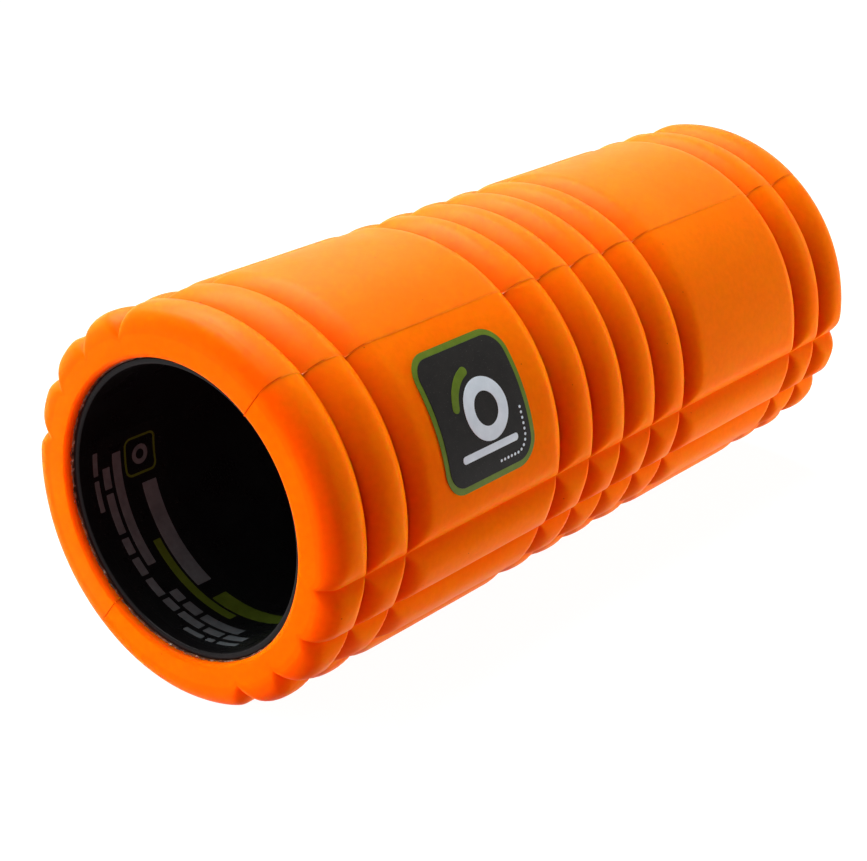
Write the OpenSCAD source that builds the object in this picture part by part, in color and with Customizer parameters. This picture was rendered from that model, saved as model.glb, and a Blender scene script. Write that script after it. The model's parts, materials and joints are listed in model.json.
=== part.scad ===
// Massage foam roller: a rigid core tube wrapped in two moulded foam half shells.
// The roller's axis lies along X and the origin is the middle of that axis.
// Angles run round the axis from +Y towards +Z.

/* [Roller] */
// Length over the two end faces
roller_len = 330; // [326:2:420]
// Diameter over the crests of the ribs
roller_d = 140; // [136:1:150]
// Depth of every groove below the crests
groove_depth = 4.6; // [3:0.1:6]
// Rounding of the foam's outer edge at each end
end_round = 8; // [6:0.5:10]
// Bevel of the foam's inner edge at each end
inner_bevel = 1.3; // [0.5:0.1:2.5]

/* [Ribs round the roller] */
// Spacing of the grooves that run round the roller
rib_pitch = 20.4; // [18:0.1:21]
// Number of ribs in the middle group
middle_ribs = 4; // [2:2:4]
// Width of the last rib, from its groove to the end face
last_rib_w = 19.3; // [18:0.1:21]

/* [Rows of blocks] */
// Angle between the grooves that run along the roller
row_pitch = 18.9; // [16:0.1:20]
// Number of rows of blocks on each foam half
block_rows = 3; // [1:2:3]
// Angle by which the rear half's rows are turned past square to the seams
rear_turn = 2.4; // [-4:0.1:4]
// How far each groove along the roller dips further at the end faces
notch_depth = 4.4; // [3:0.1:5]
// Length over which it dips
notch_len = 5; // [4:0.1:7]

/* [Core tube] */
// Outer diameter of the tube
tube_d = 105; // [95:1:110]
// Wall thickness of the tube
tube_wall = 2.5; // [2:0.1:4]
// How far the tube stops short of each end face
tube_recess = 3; // [2.5:0.1:6]

/* [Joins] */
// Angle of the upper seam between the foam halves
seam_angle = 127.4; // [90:0.1:150]
// Thickness of the adhesive between the pieces
bond_t = 0.2; // [0.1:0.05:0.4]

/* [Badge] */
// Width of the badge along the roller
badge_w = 48.8; // [40:0.1:54]
// Height of the badge, measured straight across
badge_h = 49.3; // [40:0.1:54]
// Radius of the badge's corners
badge_corner = 9.5; // [6:0.1:12]
// Width of the border left showing round the dark panel
badge_border_w = 2.2; // [1:0.1:3]
// Distance from the middle of its smooth band to the middle of the badge
badge_shift = 1.8; // [0:0.1:4]
// Angle from the upper seam to the middle of the badge
badge_turn = 28.9; // [26:0.1:30]
// Thickness of one layer of the badge
badge_layer_t = 0.15; // [0.1:0.05:0.3]

/* [Inner label] */
// Distance of the label from the end face
label_inset = 7.6; // [6:0.1:20]
// Width of the label along the roller
label_w = 37; // [35:1:60]
// Angle round the bore that the label covers
label_sweep = 128; // [126:1:150]
// Angle of the label's lower end
label_angle = 244; // [235:1:250]
// Thickness of the label film
label_t = 0.1; // [0.05:0.01:0.15]

/* [Hidden] */

half_len = roller_len / 2;
crest_r = roller_d / 2;
groove_r = crest_r - groove_depth;
// The foam is solid below this radius, well under its grooves.
body_r = groove_r - groove_depth;
tube_r = tube_d / 2;
bore_r = tube_r - tube_wall;
tube_end = half_len - tube_recess;
foam_r = tube_r + bond_t;
// Shapes that only trim others reach this far past them.
margin = 2;
past_all = 2 * roller_len;

// Distances of the grooves round the roller from its middle.
middle_edge = middle_ribs / 2 * rib_pitch;
last_groove = half_len - last_rib_w;
band_end = last_groove - rib_pitch;
band_middle = (middle_edge + band_end) / 2;

// Radius of the arc that spans the given width and rises by the given height.
function arc_r(width, rise) = (rise * rise + width * width / 4) / (2 * rise);
rib_crown = arc_r(rib_pitch, groove_depth);

// The rows' crowns peak a little above the crests, so each block keeps a narrow true crest.
row_peak = crest_r + 0.3;
row_crown = arc_r(2 * groove_r * sin(row_pitch / 2), row_peak - groove_r * cos(row_pitch / 2));
// The smooth zones take over in the middle of the next row on either side.
zone_edge = (block_rows + 1) / 2;
// Angles of the middles of the front and rear halves' rows.
row_middles = [seam_angle + 90, seam_angle + 270 + rear_turn];
// Each notch is cut as a V with a narrow floor. This is half its angle, less than the groove's own.
notch_angle = 35;
notch_floor = 0.8;

// The badge.
badge_angle = seam_angle + badge_turn;
panel_w = badge_w - 2 * badge_border_w;
panel_h = badge_h - 2 * badge_border_w;

// The inner label and the inks on it.
label_r = bore_r - label_t;
ink_t = 0.05;

// Turns a shape drawn round Z so that it lies round X, with its X axis on +Y and its Y axis on +Z.
module along_x() {
    rotate([90, 0, 90]) children();
}

// A hollow cylinder round Z, centred on the origin.
module ring_shell(r_in, r_out, length) {
    difference() {
        cylinder(r = r_out, h = length, center = true, $fn = 180);
        cylinder(r = r_in, h = length + 2 * margin, center = true, $fn = 180);
    }
}

// A thin layer on a cylinder, outlined by the child shape. The outline is centred at x and at the
// angle. Its X axis runs along the roller.
module on_cylinder(r_in, r_out, x, angle) {
    intersection() {
        along_x() ring_shell(r_in, r_out, roller_len);
        rotate([angle - 90, 0, 0]) translate([x, 0, 0]) linear_extrude(crest_r + margin) children();
    }
}

// Rounded rectangle centred on the origin.
module rounded_rect_2d(w, h, r) {
    square([w - 2 * r, h], center = true);
    square([w, h - 2 * r], center = true);
    for (sx = [-1, 1], sy = [-1, 1]) {
        translate([sx * (w / 2 - r), sy * (h / 2 - r)]) circle(r = r, $fn = 48);
    }
}

module ring_2d(r_in, r_out) {
    difference() {
        circle(r = r_out, $fn = 72);
        circle(r = r_in, $fn = 72);
    }
}

// ---- Foam ----

// Crown of one rib. X is the distance from the axis and Y runs along the roller.
module rib_2d(middle) {
    translate([crest_r - rib_crown, middle]) circle(r = rib_crown, $fn = 96);
}

// A smooth band between two grooves, with the ribs' rounding at its edges.
module band_2d(from, to) {
    rib_2d(from + rib_pitch / 2);
    rib_2d(to - rib_pitch / 2);
    translate([0, from + rib_pitch / 2]) square([crest_r, to - from - rib_pitch]);
}

// Outline that rounds the roller's outer edge, just proud of the crests elsewhere.
module end_outline_2d() {
    top = crest_r + 0.1;
    translate([0, -margin]) square([top, half_len - end_round + margin]);
    square([top - end_round, half_len]);
    translate([top - end_round, half_len - end_round]) circle(r = end_round, $fn = 96);
}

// The roller's profile from its middle to one end.
module half_profile_2d() {
    intersection() {
        union() {
            translate([0, -margin]) square([body_r, half_len + margin]);
            for (i = [0 : middle_ribs / 2 - 1]) rib_2d((i + 0.5) * rib_pitch);
            band_2d(middle_edge, band_end);
            for (i = [0, 1]) rib_2d(band_end + (i + 0.5) * rib_pitch);
        }
        end_outline_2d();
    }
}

// The foam's profile, from the adhesive on the core out to its surface.
module foam_profile_2d() {
    difference() {
        union() {
            half_profile_2d();
            mirror([0, 1]) half_profile_2d();
        }
        translate([0, -half_len - margin]) square([foam_r, roller_len + 2 * margin]);
        for (side = [0, 1]) {
            mirror([0, side]) translate([foam_r, half_len]) polygon([
                [-margin, -inner_bevel - margin],
                [inner_bevel + margin, margin],
                [-margin, margin],
            ]);
        }
    }
}

// Crowns of one zone of block rows across the roller, and the smooth zones' matching edges.
module block_rows_2d(angle) {
    for (i = [-zone_edge : zone_edge]) {
        rotate(angle + i * row_pitch) translate([row_peak - row_crown, 0]) circle(r = row_crown, $fn = 96);
    }
}

// Sector of one smooth zone, which leaves the profile along the roller as it is.
module smooth_zone_2d(from, to) {
    half_sweep = (to - from) / 2;
    far = past_all * [cos(half_sweep), sin(half_sweep)];
    intersection() {
        circle(r = crest_r + margin, $fn = 180);
        rotate((from + to) / 2) polygon([[0, 0], [far.x, -far.y], far]);
    }
}

// Cross-section that cuts the grooves along the roller.
module cross_section_2d() {
    circle(r = body_r, $fn = 180);
    for (i = [0, 1]) {
        next = row_middles[1 - i] + i * 360;
        block_rows_2d(row_middles[i]);
        smooth_zone_2d(row_middles[i] + zone_edge * row_pitch, next - zone_edge * row_pitch);
    }
}

// V-shaped cut that deepens one groove towards the end face at +Z.
module end_notch(angle) {
    high = 2 * notch_depth;
    low_w = notch_floor / 2;
    high_w = low_w + high * tan(notch_angle);
    long = notch_depth + notch_len;
    rotate(angle) translate([groove_r - notch_depth, 0, half_len]) rotate([0, -atan(notch_depth / notch_len), 0])
        translate([0, 0, -long]) linear_extrude(long + notch_len)
            polygon([[0, -low_w], [0, low_w], [high, high_w], [high, -high_w]]);
}

// The notches at both ends of every groove along the roller.
module end_notches() {
    for (middle = row_middles, i = [-block_rows / 2 : block_rows / 2], side = [0, 1]) {
        mirror([0, 0, side]) end_notch(middle + i * row_pitch);
    }
}

// The whole foam sleeve before it is divided.
module foam_sleeve() {
    difference() {
        intersection() {
            rotate_extrude($fn = 180) foam_profile_2d();
            linear_extrude(roller_len + 2 * margin, center = true) cross_section_2d();
        }
        end_notches();
    }
}

// Everything on one side of the seam plane, less half the adhesive.
module seam_side(side) {
    rotate(seam_angle + (side > 0 ? 0 : 180))
        translate([-past_all / 2, bond_t / 2, -past_all / 2]) cube(past_all);
}

module foam_half_front() {
    color("darkorange") along_x() intersection() {
        foam_sleeve();
        seam_side(1);
    }
}

module foam_half_rear() {
    color("orange") along_x() intersection() {
        foam_sleeve();
        seam_side(-1);
    }
}

// ---- Adhesive ----

// Film between the tube and one foam half.
module core_bond(side) {
    along_x() intersection() {
        ring_shell(tube_r, foam_r, 2 * tube_end - tube_wall);
        seam_side(side);
    }
}

module core_bond_front() {
    color("tan") core_bond(1);
}

module core_bond_rear() {
    color("tan") core_bond(-1);
}

// Film between the two foam halves along one seam.
module seam_bond(angle) {
    along_x() rotate([90, 0, angle]) linear_extrude(bond_t, center = true) foam_profile_2d();
}

module seam_bond_upper() {
    color("orangered") seam_bond(seam_angle);
}

module seam_bond_lower() {
    color("orangered") seam_bond(seam_angle + 180);
}

// ---- Core ----

// Rigid tube with rounded rims.
module core_tube() {
    rim_r = tube_wall / 2;
    color("dimgray") along_x() rotate_extrude($fn = 180) {
        translate([bore_r, rim_r - tube_end]) square([tube_wall, 2 * (tube_end - rim_r)]);
        for (side = [-1, 1]) {
            translate([bore_r + rim_r, side * (tube_end - rim_r)]) circle(r = rim_r, $fn = 48);
        }
    }
}

// ---- Badge: thin layers on a smooth band, with their Y axis pointing up to the seam ----

module badge_layer(index) {
    inner = crest_r + index * badge_layer_t;
    on_cylinder(inner, inner + badge_layer_t, -band_middle - badge_shift, badge_angle) children();
}

// Backing film that shows as the border.
module badge_border() {
    color("olivedrab") badge_layer(0) rounded_rect_2d(badge_w, badge_h, badge_corner);
}

// Dark panel inside the border.
module badge_panel() {
    color("black") badge_layer(1) rounded_rect_2d(panel_w, panel_h, badge_corner - badge_border_w);
}

// Plain pictogram of a roller: a ring, with a line for the floor.
emblem_middle = [2.5, -0.5];
emblem_r = 11;
emblem_hole_r = 6;
floor_line = [30, 2.6];
floor_gap = 1;
// Round ends are this much smaller than half a line's width, so their edges cross cleanly.
end_ease = 0.05;

module badge_emblem() {
    floor_y = emblem_middle.y - emblem_r - floor_gap - floor_line.y / 2;
    color("silver") badge_layer(2) {
        translate(emblem_middle) ring_2d(emblem_hole_r, emblem_r);
        translate([0, floor_y]) rounded_rect_2d(floor_line.x, floor_line.y, floor_line.y / 2 - end_ease);
    }
}

// Arc over the ring's upper left, as a mark of turning.
accent_r = 14.8;
accent_w = 3.2;
accent_angles = [105, 165];

module badge_accent() {
    sweep = accent_angles[1] - accent_angles[0];
    far = 3 * accent_r * [cos(sweep), sin(sweep)];
    color("yellowgreen") badge_layer(2) translate(emblem_middle) rotate(accent_angles[0]) {
        intersection() {
            ring_2d(accent_r - accent_w / 2, accent_r + accent_w / 2);
            polygon([[0, 0], [3 * accent_r, 0], far]);
        }
        for (turn = [0, sweep]) {
            rotate(turn) translate([accent_r, 0]) circle(r = accent_w / 2 - end_ease, $fn = 36);
        }
    }
}

// Row of small dots round the panel's lower right corner.
dots_inset = 3.1;
dots_bend = 5.5;
dots_run = 9;
dot_r = 0.5;
dot_count = 15;

// Place of a dot at a distance s along its row: a run, a quarter turn and a second run.
function dot_place(s) =
    let (
        bend_len = dots_bend * PI / 2,
        corner = [panel_w / 2 - dots_inset - dots_bend, dots_inset + dots_bend - panel_h / 2],
        turn = (s - dots_run) / dots_bend * 180 / PI - 90
    )
    s < dots_run ? corner + [s - dots_run, -dots_bend]
    : s < dots_run + bend_len ? corner + dots_bend * [cos(turn), sin(turn)]
    : corner + [dots_bend, s - dots_run - bend_len];

module badge_dots() {
    row_len = 2 * dots_run + dots_bend * PI / 2;
    color("lightgray") badge_layer(2) {
        for (i = [0 : dot_count - 1]) translate(dot_place(i * row_len / (dot_count - 1))) circle(r = dot_r, $fn = 24);
    }
}

// ---- Label inside the bore ----

// A bar on the bore's wall: from this depth along the roller and over this span of angles.
module bore_bar(r, t, depth, width, from, sweep) {
    along_x() rotate(from) rotate_extrude(angle = sweep, $fn = 180)
        translate([r, depth - half_len]) square([t, width]);
}

module core_label() {
    color("#202020") bore_bar(label_r, label_t, label_inset, label_w, label_angle, label_sweep);
}

// Bars in rows stand for the label's print. Each row has its depth past the label's edge, its
// height, the angle where it starts on the label, and the angles that its bars cover.
row_gap = 2;
grey_rows = [
    [2, 2.1, 8, [11, 4, 10]],
    [2, 2.1, 97, [13, 10]],
    [6.2, 3.3, 9, [11, 9, 12, 7, 9, 8, 7, 17, 9]],
    [11, 3.9, 17, [21, 8, 6]],
    [11, 3.9, 70, [49]],
    [23, 6.8, 53, [49]],
];
green_rows = [
    [18.5, 3.4, 29.5, [49]],
    [23, 6.8, 6.5, [38]],
];

// Sum of the first n values of a list.
function sum_to(values, n) = n == 0 ? 0 : values[n - 1] + sum_to(values, n - 1);

module print_rows(rows) {
    for (row = rows, i = [0 : len(row[3]) - 1]) {
        from = label_angle + row[2] + sum_to(row[3], i) + i * row_gap;
        bore_bar(label_r - ink_t, ink_t, label_inset + row[0], row[1], from, row[3][i]);
    }
}

// A small square outline and ring after the rows.
sign_w = 14.8;
sign_line = 0.9;
sign_depth = 31.6;
sign_turn = 114.3;

module label_sign() {
    on_cylinder(label_r - ink_t, label_r, sign_depth - half_len, label_angle + sign_turn) children();
}

module label_print_grey() {
    color("gray") {
        print_rows(grey_rows);
        label_sign() ring_2d(sign_w / 8, sign_w / 4);
    }
}

module label_print_green() {
    color("olive") {
        print_rows(green_rows);
        label_sign() difference() {
            rounded_rect_2d(sign_w, sign_w, sign_w / 5);
            rounded_rect_2d(sign_w - 2 * sign_line, sign_w - 2 * sign_line, sign_w / 5 - sign_line);
        }
    }
}

core_tube();
core_bond_front();
core_bond_rear();
foam_half_front();
foam_half_rear();
seam_bond_upper();
seam_bond_lower();
badge_border();
badge_panel();
badge_emblem();
badge_accent();
badge_dots();
core_label();
label_print_grey();
label_print_green();
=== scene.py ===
"""Looks of the massage foam roller: moulded foam halves, core tube, adhesive, badge and label."""
import json
import math

import bmesh
import bpy
import numpy as np
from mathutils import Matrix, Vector, geometry, noise


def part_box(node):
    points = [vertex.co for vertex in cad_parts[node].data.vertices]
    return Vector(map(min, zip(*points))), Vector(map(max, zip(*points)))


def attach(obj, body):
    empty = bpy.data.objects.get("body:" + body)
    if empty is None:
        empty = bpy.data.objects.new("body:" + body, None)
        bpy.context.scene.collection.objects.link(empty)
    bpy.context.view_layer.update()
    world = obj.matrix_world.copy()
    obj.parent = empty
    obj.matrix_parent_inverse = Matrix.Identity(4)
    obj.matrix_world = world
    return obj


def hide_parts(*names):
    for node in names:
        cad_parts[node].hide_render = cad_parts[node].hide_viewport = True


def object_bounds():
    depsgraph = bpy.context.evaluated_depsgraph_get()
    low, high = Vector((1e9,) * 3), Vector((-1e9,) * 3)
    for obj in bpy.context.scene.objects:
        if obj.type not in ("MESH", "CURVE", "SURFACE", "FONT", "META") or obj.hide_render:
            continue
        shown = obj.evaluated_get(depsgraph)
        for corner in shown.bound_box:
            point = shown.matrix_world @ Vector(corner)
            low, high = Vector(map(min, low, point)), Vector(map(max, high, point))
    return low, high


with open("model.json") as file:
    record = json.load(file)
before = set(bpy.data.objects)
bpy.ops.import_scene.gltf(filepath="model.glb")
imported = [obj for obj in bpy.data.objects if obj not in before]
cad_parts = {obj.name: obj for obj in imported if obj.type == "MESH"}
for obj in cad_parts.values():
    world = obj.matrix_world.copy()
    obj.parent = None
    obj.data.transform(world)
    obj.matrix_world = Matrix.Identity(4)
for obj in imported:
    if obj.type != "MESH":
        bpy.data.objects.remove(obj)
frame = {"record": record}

CAD_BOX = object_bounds()
MM = 0.001

# ---- Sizes in millimetres, taken from the frame ----


def box_mm(node):
    """Lowest and highest corner of a CAD node, in millimetres."""
    low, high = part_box(node)
    return Vector(low) / MM, Vector(high) / MM


def angle_of(node):
    """Angle round the roller's axis, in degrees from +Y, of the middle of a node's box."""
    low, high = box_mm(node)
    middle = (low + high) / 2
    return math.degrees(math.atan2(middle.z, middle.y)) % 360


HALF_LEN = box_mm("foam_half_front")[1].x
CREST_R = -box_mm("foam_half_front")[0].z
TUBE_R = box_mm("core_tube")[1].z
TUBE_END = box_mm("core_tube")[1].x
FOAM_R = box_mm("core_bond_rear")[1].y
BORE_R = next(m for m in frame["record"]["mounts"] if m["name"] == "bore")["dims"]["r_mm"]
SEAM_ANGLE = angle_of("seam_bond_upper")
FLOOR_Z = CAD_BOX[0].z

# Driving sizes of the foam's pattern, as on the CAD model.
GROOVE_DEPTH = 4.6
RIB_PITCH = 20.4
MIDDLE_RIBS = 4
LAST_RIB_W = 19.3
END_ROUND = 8.0
ROW_PITCH = 18.9
BLOCK_ROWS = 3
REAR_TURN = 2.4

# Details of the moulded foam that the CAD model draws sharper, smaller or not at all.
BORE_ROUND = 1.9
NOTCH_DEPTH, NOTCH_LEN, NOTCH_ANGLE, NOTCH_FLOOR = 4.2, 5.0, 24.0, 0.3
# How far the blocks' crowns and the arc of the rounded ends stand past the crest radius.
ROW_PROUD, END_PROUD = 0.3, 0.1
# Rise of the smooth zones over the blocks' crowns, and the degrees over which it starts.
ZONE_RISE, ZONE_EASE = 1.2, 4

GROOVE_R = CREST_R - GROOVE_DEPTH
MIDDLE_EDGE = MIDDLE_RIBS / 2 * RIB_PITCH
LAST_GROOVE = HALF_LEN - LAST_RIB_W
BAND_END = LAST_GROOVE - RIB_PITCH

# Length and depth over which the rows of blocks fall away at the ends, and the faint crease.
LIP, LIP_DROP = 8.0, 6.0
KINK_AT, KINK_WIDTH, KINK_DEPTH = HALF_LEN - 4.2, 0.35, 0.12


def arc_radius(width, rise):
    """Radius of the arc that spans a width and rises by a height."""
    return (rise * rise + width * width / 4) / (2 * rise)


RIB_CROWN = arc_radius(RIB_PITCH, GROOVE_DEPTH)
ROW_PEAK = CREST_R + ROW_PROUD
HALF_ROW = math.radians(ROW_PITCH / 2)
ROW_CROWN = arc_radius(2 * GROOVE_R * math.sin(HALF_ROW), ROW_PEAK - GROOVE_R * math.cos(HALF_ROW))

# ---- Shape of the foam's surface ----

# Widths over which two surfaces blend, in grooves and over edges.
GROOVE_BLEND, EDGE_BLEND, NOTCH_BLEND = 0.35, 0.7, 0.8


def smooth_max(a, b, width):
    """The larger of two heights, filleted where they cross."""
    near = np.maximum(width - np.abs(a - b), 0)
    return np.maximum(a, b) + near * near / (4 * width)


def smooth_min(a, b, width):
    """The smaller of two heights, rounded where they cross."""
    return -smooth_max(-a, -b, width)


def rib_height(x, middle, half_flat=0.0):
    """Radius of one rib's crown, or of a smooth band with the same rounding at its edges."""
    past = np.minimum(np.maximum(np.abs(x - middle) - half_flat, 0), RIB_CROWN)
    return CREST_R - RIB_CROWN + np.sqrt(RIB_CROWN**2 - past**2)


def profile_along(x):
    """Radius of the foam along the roller, before the rows of blocks are cut."""
    x = np.abs(x)
    height = rib_height(x, (MIDDLE_EDGE + BAND_END) / 2, (BAND_END - MIDDLE_EDGE - RIB_PITCH) / 2)
    middles = [(i + 0.5) * RIB_PITCH for i in range(-1, MIDDLE_RIBS // 2)]
    middles += [BAND_END + 0.5 * RIB_PITCH, LAST_GROOVE + 0.5 * RIB_PITCH]
    for middle in middles:
        height = smooth_max(height, rib_height(x, middle), GROOVE_BLEND)
    past = np.minimum(np.maximum(x - (HALF_LEN - END_ROUND), 0), END_ROUND)
    end = CREST_R + END_PROUD - END_ROUND + np.sqrt(END_ROUND**2 - past**2)
    return smooth_min(height, end, EDGE_BLEND)


def profile_across(turn):
    """Radius of the rows of blocks at an angle in degrees from the middle of a foam half."""
    height = np.full_like(turn, GROOVE_R - GROOVE_DEPTH)
    reach = ROW_PEAK - ROW_CROWN
    zone_edge = (BLOCK_ROWS + 1) / 2
    for i in np.arange(-zone_edge, zone_edge + 1):
        away = turn - i * ROW_PITCH
        if abs(i) == zone_edge:
            away = np.where(away * i > 0, 0.0, away)
        away = np.radians(np.abs(away))
        inside = ROW_CROWN**2 - (reach * np.sin(away))**2
        crown = reach * np.cos(away) + np.sqrt(np.maximum(inside, 0))
        height = smooth_max(height, np.where(inside > 0, crown, 0.0), GROOVE_BLEND)
    past = np.clip((np.abs(turn) - zone_edge * ROW_PITCH) / ZONE_EASE, 0, 1)
    return height + ZONE_RISE * past


def groove_turns():
    """Angles of the grooves along the roller, from the middle of a foam half."""
    return [(i - BLOCK_ROWS / 2) * ROW_PITCH for i in range(BLOCK_ROWS + 1)]


def notch_height(x, turn):
    """Radius of the V-shaped notches where the grooves along the roller meet the end faces."""
    floor = GROOVE_R - NOTCH_DEPTH + (HALF_LEN - np.abs(x)) * NOTCH_DEPTH / NOTCH_LEN
    away = np.min([np.abs(turn - g) for g in groove_turns()], axis=0)
    side = np.maximum(np.radians(away) * GROOVE_R - NOTCH_FLOOR / 2, 0)
    return floor + side / math.tan(math.radians(NOTCH_ANGLE))


def foam_radius(x, turn):
    """Radius of the foam's outer surface on a grid of places along and angles round a half."""
    x, turn = np.broadcast_arrays(np.asarray(x, float), np.asarray(turn, float))
    radius = smooth_min(profile_along(x), profile_across(turn), EDGE_BLEND)
    past = np.clip((np.abs(x) - (HALF_LEN - LIP)) / LIP, 0, 1)
    lip = LIP_DROP * (1 - np.sqrt(1 - past**2))
    across = profile_across(turn) - lip
    radius = smooth_min(radius, across, NOTCH_BLEND)
    kink = KINK_DEPTH * np.exp(-(((np.abs(x) - KINK_AT) / KINK_WIDTH) ** 2))
    return smooth_min(radius, notch_height(x, turn), NOTCH_BLEND) - kink


# ---- Sampling and mesh making ----


def graded(places, fine, coarse, growth=1.28):
    """Samples through a list of places: close together at each place, wider apart between them."""
    places = sorted(places)
    samples = [places[0]]
    for start, stop in zip(places, places[1:]):
        half = (stop - start) / 2
        steps, step = [], fine
        while sum(steps) < half:
            steps.append(step)
            step = min(step * growth, coarse)
        out = np.cumsum(steps) * half / sum(steps)
        samples += list(start + out)
        samples += list(stop - out[-2::-1]) + [stop]
    return np.array(samples)


def on_axis(x, radius, angle):
    """Points in metres at a place along, a radius from and an angle in degrees round the axis."""
    x, radius, angle = np.broadcast_arrays(x, radius, np.radians(angle))
    return np.stack([x, radius * np.cos(angle), radius * np.sin(angle)], axis=-1) * MM


def new_piece(name, points, faces, material, cad_nodes, sharp_from=40):
    """A mesh piece with consistent normals that stands for CAD nodes and rides on the roller."""
    mesh = bpy.data.meshes.new(name)
    mesh.from_pydata([tuple(p) for p in np.asarray(points).reshape(-1, 3)], [], faces)
    work = bmesh.new()
    work.from_mesh(mesh)
    bmesh.ops.recalc_face_normals(work, faces=work.faces)
    work.to_mesh(mesh)
    work.free()
    mesh.shade_smooth()
    mesh.set_sharp_from_angle(angle=math.radians(sharp_from))
    mesh.materials.append(material)
    piece = bpy.data.objects.new(name, mesh)
    bpy.context.scene.collection.objects.link(piece)
    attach(piece, "root")
    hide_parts(*cad_nodes)
    return piece


def sweep_faces(rows, columns, ring=False):
    """Faces over rows of closed loops: capped at both ends, or joined round into a ring."""
    index = np.arange(rows * columns).reshape(rows, columns)
    turned = np.roll(index, -1, axis=1)
    if ring:
        nxt, nxt_turned = np.roll(index, -1, axis=0), np.roll(turned, -1, axis=0)
    else:
        index, nxt = index[:-1], index[1:]
        turned, nxt_turned = turned[:-1], turned[1:]
    quads = np.stack([index, turned, nxt_turned, nxt], axis=-1).reshape(-1, 4)
    faces = quads.tolist()
    if not ring:
        faces.append(list(range(columns - 1, -1, -1)))
        faces.append(list(range((rows - 1) * columns, rows * columns)))
    return faces


def set_attribute(piece, name, values):
    """Stores one number per vertex for the piece's material."""
    attribute = piece.data.attributes.new(name, "FLOAT", "POINT")
    attribute.data.foreach_set("value", np.asarray(values, np.float32).ravel())


def soft_noise(points, scale, seed):
    """Smooth noise from -1 to 1 at points in millimetres, with features about a scale wide."""
    shift = Vector((seed * 17.3, seed * 5.7, seed * 11.1))
    flat = np.asarray(points, float).reshape(-1, 3) / scale
    values = [noise.noise(Vector(p) + shift) for p in flat]
    return np.array(values).reshape(np.shape(points)[:-1])


# ---- Foam halves ----

# Distances in millimetres, and in degrees round the roller, between the samples of the surface.
FOAM_FINE, FOAM_COARSE = 0.24, 1.5
TURN_FINE, TURN_COARSE, SEAM_STEP = 0.2, 1.35, 0.09
END_STEPS, FACE_STEPS, WALL_STEPS = 16, 4, 24
# Slope of the profile above which a flank counts as rising.
STEEP = 0.12
# At the glued seams: half the gap, edge rounding, drop of the front edge, rise of the rear one.
SEAM_GAP, SEAM_ROUND, SEAM_DIP, SEAM_LIFT = 0.08, 0.12, 0.08, 0.04
# Reach of the seams' waviness; place, width and height of their lumps, on the ribs and elsewhere;
# and how far past the middle ribs' edge still counts as on the ribs.
SEAM_REACH = 3.2
LUMP_AT, LUMP_WIDTH, LUMP_ON_RIBS, LUMP_ELSEWHERE = 2.0, 1.9, 0.16, 0.05
RIBS_PAST = 4
# Wide and narrow unevenness of the moulded surface: height and scale.
UNEVEN, MOTTLE = (0.07, 22), (0.035, 7)
# Handling marks: how many, and the ranges of their sizes and depths.
DENTS, DENT_SIZES, DENT_DEPTHS = 46, (0.7, 2.4), (-0.10, 0.03)
# Depth given to the material on the inner edges and the bore wall, which paints shade there, and
# the distance added to a seam wherever no flank rises, so that its dark line, partly painted shade,
# shows on the shaded rising flanks alone.
BORE_SHADE_DEPTH, CRACK_OFF = 1.2, 0.35


def foam_stations():
    """Places along the roller at which the foam's outer surface is sampled."""
    grooves = [i * RIB_PITCH for i in range(MIDDLE_RIBS // 2 + 1)] + [BAND_END, LAST_GROOVE]
    notch_start = HALF_LEN - NOTCH_LEN
    places = [-g for g in grooves[1:]] + grooves + [notch_start, -notch_start]
    middle = graded(places, FOAM_FINE, FOAM_COARSE)
    first = math.asin(1 - NOTCH_LEN / END_ROUND)
    swing = np.linspace(first, math.pi / 2, END_STEPS)[1:]
    ends = HALF_LEN - END_ROUND + END_ROUND * np.sin(swing)
    return np.concatenate([-ends[::-1], middle, ends])


def rising_flank(x):
    """Where the foam's profile rises along the roller, so that the seam there gapes and its dark
    line, partly painted shade, is drawn: 0 or 1.
    """
    step = 0.05
    return (profile_along(x + step) - profile_along(x - step)) / (2 * step) > STEEP


def half_middle(front):
    """Angle of the middle of the front or the rear half."""
    return SEAM_ANGLE + (90 if front else -90)


def seam_shape(x, turn, radius, points, front, seed):
    """Changes of radius near the two glued seams: rounded edges, a small step, waves and lumps."""
    away = np.radians(90 - np.abs(turn)) * radius
    inside = np.clip(1 - away / SEAM_ROUND, 0, 1)
    change = -SEAM_ROUND * (1 - np.sqrt(1 - inside**2 * 0.96))
    upper = np.sign(turn) == (-1 if front else 1)
    wave = soft_noise(points, 6, seed + 3)
    ripple = soft_noise(points, 1.6, seed + 4)
    fade = np.exp(-((away / SEAM_REACH) ** 2))
    step = -SEAM_DIP if front else SEAM_LIFT
    change = change + np.where(upper, step, step / 2) * fade * (1 + 0.8 * wave)
    ribs = np.abs(x) < MIDDLE_EDGE + RIBS_PAST
    lump = np.where(ribs & upper, LUMP_ON_RIBS, LUMP_ELSEWHERE)
    lump = lump * np.exp(-(((away - LUMP_AT) / LUMP_WIDTH) ** 2))
    return change + lump * ripple * (1.6 if front else 0.6)


def dents(x, turn, radius, seed):
    """A few shallow handling marks, as changes of radius."""
    draw = np.random.default_rng(seed)
    change = np.zeros_like(radius)
    for _ in range(DENTS):
        at_x = draw.uniform(-HALF_LEN, HALF_LEN)
        at_turn = draw.uniform(-90, 90)
        size = draw.uniform(*DENT_SIZES)
        deep = draw.uniform(*DENT_DEPTHS)
        away = (x - at_x) ** 2 + (np.radians(turn - at_turn) * CREST_R) ** 2
        change = change + deep * np.exp(-away / size**2)
    return change


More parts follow.
